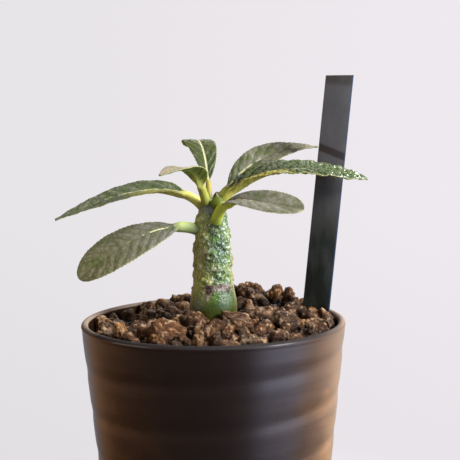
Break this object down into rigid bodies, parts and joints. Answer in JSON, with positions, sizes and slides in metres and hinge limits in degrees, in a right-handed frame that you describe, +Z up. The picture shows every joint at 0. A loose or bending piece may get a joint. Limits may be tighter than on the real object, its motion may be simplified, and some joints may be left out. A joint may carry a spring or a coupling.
{
  "type": "potted dorstenia",
  "caption": "Small caudex-forming succulent with quilted leaves on a warty green stem, standing in gritty clay soil in a tapered bronze-glazed pot with a bare plant tag.",
  "frame": {"origin": "on the pot's axis, at the surface that its foot ring stands on", "axes": "+Z up, along the pot's axis; +X to the right and +Y away from the viewer, as in the picture"},
  "size_m": [0.106, 0.09, 0.1687],
  "materials": {
    "glaze": "satin",
    "net": "matte",
    "clay_grains": "matte",
    "stem": "satin",
    "leaf": "satin",
    "bud": "satin",
    "tag": "gloss"
  },
  "bodies": {
    "root": {"pot": "glaze", "drain_net": "net", "soil": "clay_grains", "caudex": "stem", "leaf_left_upper": "leaf", "leaf_left_lower": "leaf", "leaf_front_small": "leaf", "leaf_top_back": "leaf", "leaf_right_back": "leaf", "leaf_right_main": "leaf", "leaf_right_front": "leaf", "crown_bud": "bud", "label": "tag"}
  },
  "joints": []
}
